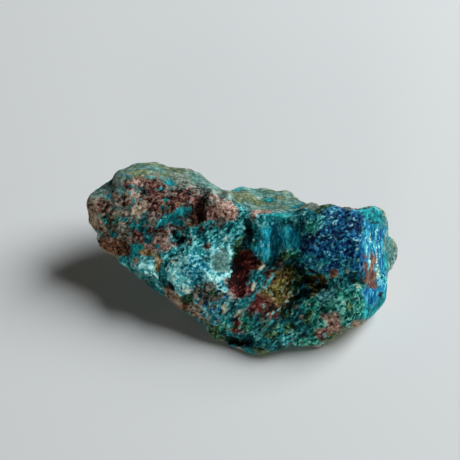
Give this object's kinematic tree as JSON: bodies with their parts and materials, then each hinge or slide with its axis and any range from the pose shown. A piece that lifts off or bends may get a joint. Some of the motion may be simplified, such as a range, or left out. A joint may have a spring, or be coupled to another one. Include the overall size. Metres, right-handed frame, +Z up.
{
  "type": "rough shattuckite specimen",
  "caption": "Rough hand piece of blue and teal copper silicate ore, lying on a small broken flat with its broken front leaning back and its narrow end clear.",
  "frame": {"origin": "middle of the stone's bounding box, on the level surface that it lies on", "axes": "+X along the stone from its narrow brown end to its wide blue end, -Y the side that the broken front faces, +Z up"},
  "size_m": [0.046, 0.029, 0.0148],
  "materials": {
    "ore": "rough broken ore, azure, teal and sea-green with brown, rust and pale patches, dull with fine glints"
  },
  "bodies": {
    "root": {"shattuckite_stone": "ore"}
  },
  "joints": []
}
